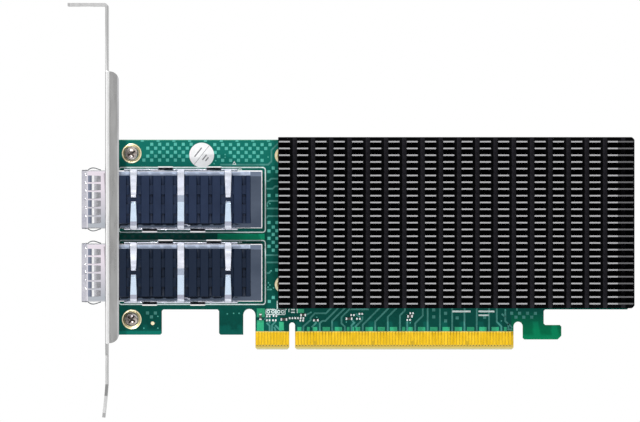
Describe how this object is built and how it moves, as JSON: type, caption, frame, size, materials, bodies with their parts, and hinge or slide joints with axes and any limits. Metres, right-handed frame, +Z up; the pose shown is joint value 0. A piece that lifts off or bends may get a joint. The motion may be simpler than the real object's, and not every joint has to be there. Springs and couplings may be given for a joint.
{
  "type": "network interface card",
  "caption": "Low-profile network interface card with finned heat sink, caged transceiver ports, full-height bracket and a sixteen-lane edge connector.",
  "frame": {"origin": "middle of the key notch at the tip of the contact edge, at mid thickness of the board", "axes": "+Z up, away from the contact edge; +X along the board away from the bracket; -Y the component side"},
  "size_m": [0.1858, 0.0185, 0.1359],
  "materials": {
    "circuit_board": "green solder mask over glass-fibre epoxy",
    "gold_plating": "hard gold plating",
    "bracket_steel": "nickel-plated steel sheet, satin",
    "screw_steel": "nickel-plated",
    "spring_steel": "bright stainless spring sheet",
    "spacer_brass": "turned brass",
    "black_aluminium": "black anodised, bare fin tips",
    "navy_aluminium": "dark blue-black anodised",
    "cage_steel": "nickel silver sheet, satin",
    "connector_plastic": "black moulded",
    "thermal_pad": "soft grey pad",
    "lid_metal": "nickel-plated lid",
    "chip_substrate": "laminate",
    "chip_plastic": "black moulded package",
    "inductor_body": "dark grey pressed powder",
    "capacitor_ceramic": "tan ceramic with tinned ends",
    "light_lens": "clear lens",
    "sticker_paper": "white paper label, plain bars"
  },
  "bodies": {
    "root": {"board": "circuit_board", "edge_contacts_front": "gold_plating", "edge_contacts_back": "gold_plating", "screw_pads": "gold_plating", "bracket": "bracket_steel", "bracket_screws": "screw_steel", "main_heatsink": "black_aluminium", "heatsink_screws": "screw_steel", "heatsink_spacers": "spacer_brass", "thermal_pad": "thermal_pad", "controller_lid": "lid_metal", "controller_substrate": "chip_substrate", "power_inductors": "inductor_body", "voltage_regulators": "chip_plastic", "memory_chip": "chip_plastic", "manager_chip": "chip_plastic", "clock_oscillator": "lid_metal", "bulk_capacitors": "capacitor_ceramic", "lane_capacitors": "capacitor_ceramic", "back_capacitors": "capacitor_ceramic", "status_lights": "light_lens", "round_sticker": "sticker_paper", "cage_lower": "cage_steel", "spring_collar_lower": "spring_steel", "port_heatsink_lower": "navy_aluminium", "heatsink_clip_lower": "spring_steel", "port_connector_lower": "connector_plastic", "cage_upper": "cage_steel", "spring_collar_upper": "spring_steel", "port_heatsink_upper": "navy_aluminium", "heatsink_clip_upper": "spring_steel", "port_connector_upper": "connector_plastic"}
  },
  "joints": []
}
